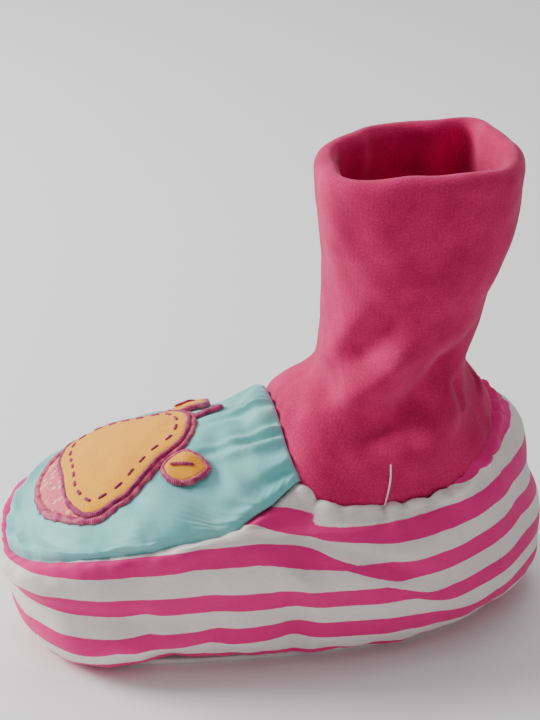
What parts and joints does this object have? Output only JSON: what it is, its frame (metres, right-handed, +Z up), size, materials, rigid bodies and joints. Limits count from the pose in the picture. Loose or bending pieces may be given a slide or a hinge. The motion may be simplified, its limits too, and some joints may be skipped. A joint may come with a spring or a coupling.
{
  "type": "baby bootie",
  "caption": "Soft padded baby bootie with a striped side wall, a gathered vamp carrying a felt pear motif, and a tall fleece cuff that bends at the ankle.",
  "frame": {"origin": "middle of the underside of the sole, on the surface that the bootie stands on", "axes": "+X towards the heel and -X towards the toe, +Y across the foot, +Z up"},
  "size_m": [0.1376, 0.0688, 0.1183],
  "materials": {
    "sole_cotton": "matte",
    "foam": "matte",
    "lining_fleece": "matte",
    "striped_cotton": "matte",
    "wadding": "matte",
    "aqua_satin": "satin",
    "elastic": "matte",
    "pink_fleece": "matte",
    "printed_cotton": "matte",
    "mustard_felt": "matte",
    "satin_thread": "satin",
    "white_thread": "matte"
  },
  "bodies": {
    "foot": {"outsole": "sole_cotton", "sole_foam": "foam", "insole": "lining_fleece", "side_wall": "striped_cotton", "side_padding": "wadding", "vamp_panel": "aqua_satin", "vamp_padding": "wadding", "foot_lining": "lining_fleece", "ankle_elastic": "elastic", "cuff_lower": "pink_fleece", "cuff_fold": "pink_fleece", "pear_backing": "printed_cotton", "pear_felt": "mustard_felt", "pear_satin_edge": "satin_thread", "leaf_near": "mustard_felt", "leaf_far": "mustard_felt", "loose_thread": "white_thread"},
    "cuff": {"cuff_upper": "pink_fleece"}
  },
  "joints": [
    {"name": "cuff_flex", "type": "hinge", "parent": "foot", "child": "cuff", "pos_m": [0.028, 0, 0.071], "axis": [0, 1, 0], "range_deg": [-20, 20], "stiffness_Nm_per_rad": 0.05, "deforming": ["cuff_fold"]}
  ]
}
